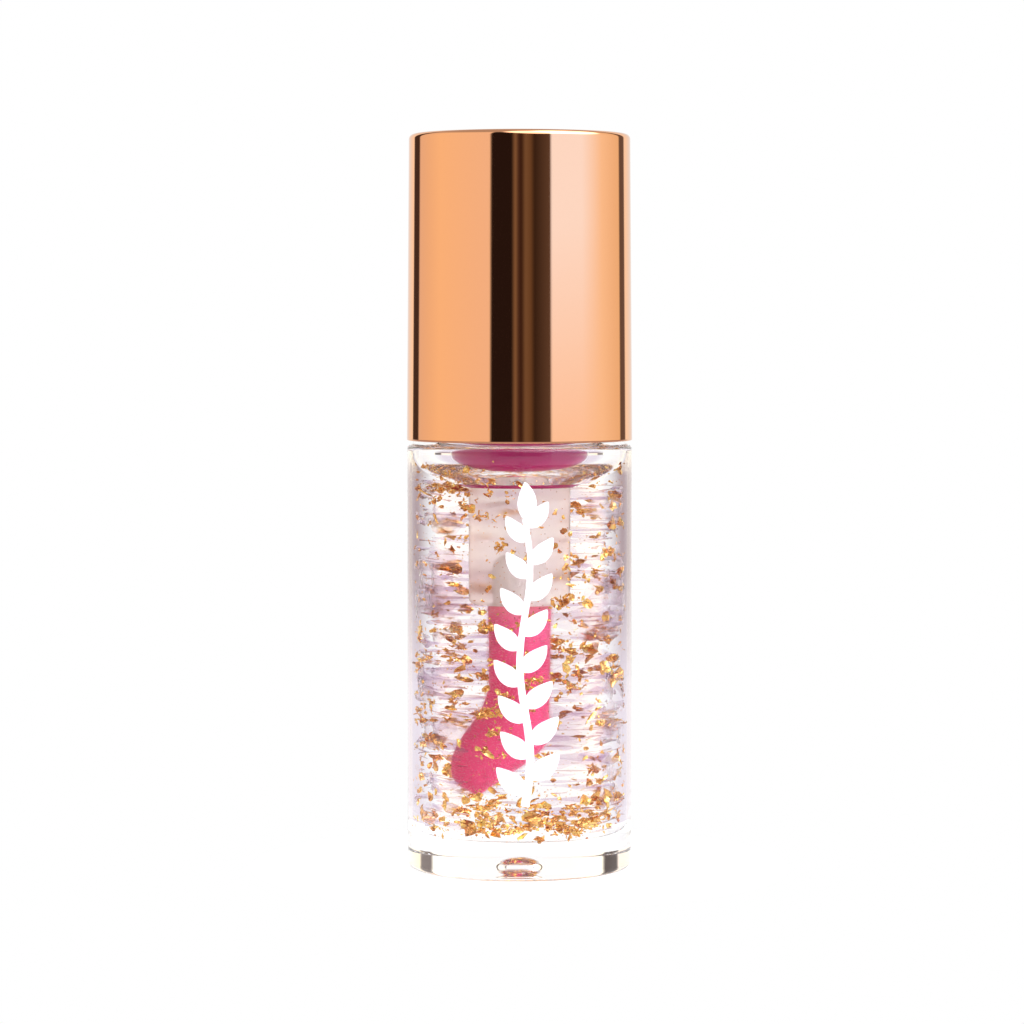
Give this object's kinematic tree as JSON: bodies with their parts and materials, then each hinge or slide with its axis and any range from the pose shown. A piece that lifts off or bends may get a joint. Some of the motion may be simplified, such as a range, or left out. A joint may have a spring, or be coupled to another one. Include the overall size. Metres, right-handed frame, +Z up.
{
  "type": "lip gloss tube",
  "caption": "Round thick-walled clear lip gloss bottle with a metallised screw cap that carries a wand with a flocked doe-foot tip.",
  "frame": {"origin": "centre of the base, on the surface that the tube stands on", "axes": "+Z up along the tube's axis, -Y towards the viewer; the foot of the applicator points along -X at rest"},
  "size_m": [0.02, 0.02, 0.0652],
  "materials": {
    "clear_plastic": "polished",
    "soft_plastic": "satin",
    "gloss_gel": "polished",
    "liner_foam": "matte",
    "white_plastic": "satin",
    "rose_gold": "polished",
    "milky_plastic": "satin",
    "tip_elastomer": "satin",
    "pink_flock": "matte"
  },
  "bodies": {
    "bottle": {"bottle": "clear_plastic", "wiper": "soft_plastic"},
    "gloss": {"gloss_fill": "gloss_gel"},
    "liner": {"cap_liner": "liner_foam"},
    "cap": {"cap_shell": "rose_gold", "inner_cap": "white_plastic", "wand_stem": "milky_plastic", "tip_core": "tip_elastomer", "tip_flock": "pink_flock"}
  },
  "joints": [
    {"name": "cap_turn", "type": "hinge", "parent": "bottle", "child": "gloss", "pos_m": [0, 0, 0.05], "axis": [0, 0, 1], "range_deg": [0, 540]},
    {"name": "wand_pull", "type": "slide", "parent": "gloss", "child": "liner", "axis": [0, 0, 1], "range_m": [0, 0.048], "deforming": ["wiper"]},
    {"name": "thread_rise", "type": "slide", "parent": "liner", "child": "cap", "axis": [0, 0, 1], "range_m": [0, 0.003]}
  ],
  "couplings": [
    {"joint": "thread_rise", "follows": "cap_turn", "m_per_rad": 0.0003183}
  ]
}
